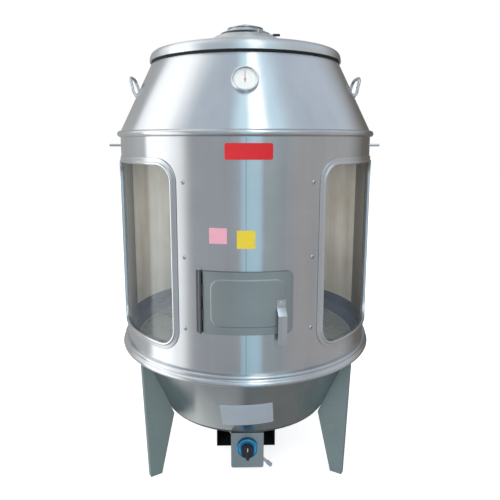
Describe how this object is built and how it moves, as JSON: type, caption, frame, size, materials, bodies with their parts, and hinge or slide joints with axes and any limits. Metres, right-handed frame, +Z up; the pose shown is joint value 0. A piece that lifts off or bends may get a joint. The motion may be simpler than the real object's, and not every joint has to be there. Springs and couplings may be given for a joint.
{
  "type": "duck roasting oven",
  "caption": "Upright drum oven for roasting ducks: windowed steel drum on a bowl with folded legs, hood cone with lift-off lid and damper, hinged fire door, gas burner and control.",
  "frame": {"origin": "on the floor, on the drum's axis, which is the centre of the footprint's box", "axes": "+Z up; the front, with the fire door and the knob, faces -Y; +X is to the right seen from the front"},
  "size_m": [0.892, 0.8318, 1.4602],
  "materials": {
    "steel": "brushed and polished stainless sheet",
    "satin_lid": "satin stainless sheet",
    "leg_paint": "satin grey-green paint",
    "dark_steel": "dull dark steel",
    "black_iron": "matt black, heat blued",
    "black_sheet": "matt black",
    "black_plastic": "fine matt",
    "blue_metal": "blue anodised",
    "blue_film": "dark blue, mottled",
    "brass": "plain",
    "rubber": "matt black",
    "red_plate": "satin red, blank",
    "dial": "white",
    "needle": "red",
    "chrome": "polished",
    "glass": "clear"
  },
  "bodies": {
    "oven": {"bowl_shell": "steel", "bowl_floor": "dark_steel", "lower_ring": "steel", "leg_left": "leg_paint", "leg_right": "leg_paint", "leg_rear": "leg_paint", "drum_shell": "steel", "window_frame_left": "steel", "window_frame_right": "steel", "window_glass_left": "glass", "window_glass_right": "glass", "glass_clamp_left_front": "steel", "glass_clamp_left_rear": "steel", "glass_clamp_right_front": "steel", "glass_clamp_right_rear": "steel", "top_ring": "steel", "hood_cone": "steel", "thermometer_case": "chrome", "thermometer_dial": "dial", "thermometer_glass": "glass", "thermometer_stem": "steel", "carry_handle_left": "steel", "carry_handle_right": "steel", "hanging_rod": "steel", "roasting_ring": "steel", "rod_nut_left": "dark_steel", "rod_nut_right": "dark_steel", "ring_bracket_front": "steel", "ring_bracket_rear": "steel", "name_plate": "red_plate", "hinge_leaf": "steel", "hinge_pin": "dark_steel", "pan_band": "blue_film", "drip_pan": "steel", "flame_spreader": "black_iron", "burner_box": "black_sheet", "burner_head": "black_iron", "mixing_tube": "black_iron", "burner_bar": "black_sheet", "control_box": "steel", "valve_body": "brass", "gas_pipe": "brass", "gas_inlet_pipe": "steel", "pilot_tube": "brass"},
    "lid": {"lid_shell": "satin_lid", "lid_gasket": "rubber", "vent_cowl": "satin_lid", "vent_cap": "satin_lid", "damper_rivet": "dark_steel"},
    "damper": {"damper_disc": "steel", "damper_lever": "steel", "damper_grip": "black_plastic"},
    "needle": {"thermometer_needle": "needle"},
    "fire_door": {"fire_door_panel": "steel"},
    "latch": {"latch_lever": "steel", "latch_spindle": "steel", "latch_cam": "dark_steel"},
    "valve_stem": {"valve_stem": "brass"},
    "knob": {"knob": "black_plastic", "knob_skirt": "blue_metal"}
  },
  "joints": [
    {"name": "lid_lift", "type": "slide", "parent": "oven", "child": "lid", "axis": [0, 0, 1], "range_m": [0, 0.4]},
    {"name": "damper_turn", "type": "hinge", "parent": "lid", "child": "damper", "pos_m": [0, 0, 1.4199], "axis": [0, 0, 1], "range_deg": [0, 45]},
    {"name": "needle_turn", "type": "hinge", "parent": "oven", "child": "needle", "pos_m": [-0.00822, -0.33617, 1.251], "axis": [-0.0219, -0.8959, 0.4437], "range_deg": [-135, 135]},
    {"name": "door_swing", "type": "hinge", "parent": "oven", "child": "fire_door", "pos_m": [-0.13092, -0.38537, 0.667], "axis": [0, 0, -1], "range_deg": [0, 110]},
    {"name": "latch_turn", "type": "hinge", "parent": "fire_door", "child": "latch", "pos_m": [0.08739, -0.39546, 0.6665], "axis": [0.2158, -0.9764, 0], "range_deg": [0, 90]},
    {"name": "valve_push", "type": "slide", "parent": "oven", "child": "valve_stem", "axis": [0, 1, 0], "range_m": [0, 0.005], "stiffness_N_per_m": 500},
    {"name": "knob_turn", "type": "hinge", "parent": "valve_stem", "child": "knob", "pos_m": [0, -0.28, 0.1685], "axis": [0, -1, 0], "range_deg": [0, 210]}
  ]
}
